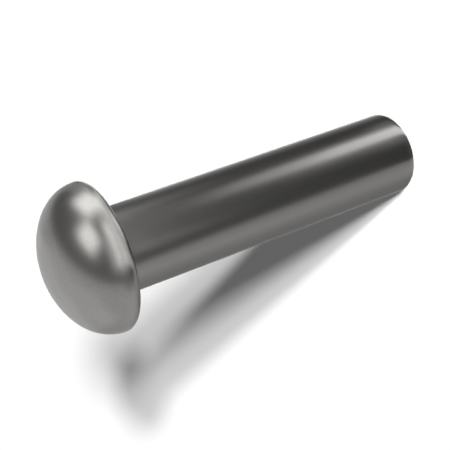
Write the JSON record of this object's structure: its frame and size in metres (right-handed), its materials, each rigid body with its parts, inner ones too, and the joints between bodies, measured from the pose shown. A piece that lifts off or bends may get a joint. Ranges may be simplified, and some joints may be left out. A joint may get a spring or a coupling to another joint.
{
  "type": "solid rivet",
  "caption": "Solid round-head rivet: a domed head with a softly rounded rim and a flat bearing face, on a plain round shank with a rounded tail edge.",
  "frame": {"origin": "centre of the head's flat bearing face, on the rivet's axis", "axes": "+Z along the axis from the tail towards the crown of the head; the rivet stands upright on its tail end"},
  "size_m": [0.0112, 0.0112, 0.03],
  "materials": {
    "steel": "dark satin bare steel, drawn along the shank and upset smooth over the head"
  },
  "bodies": {
    "root": {"rivet": "steel"}
  },
  "joints": []
}
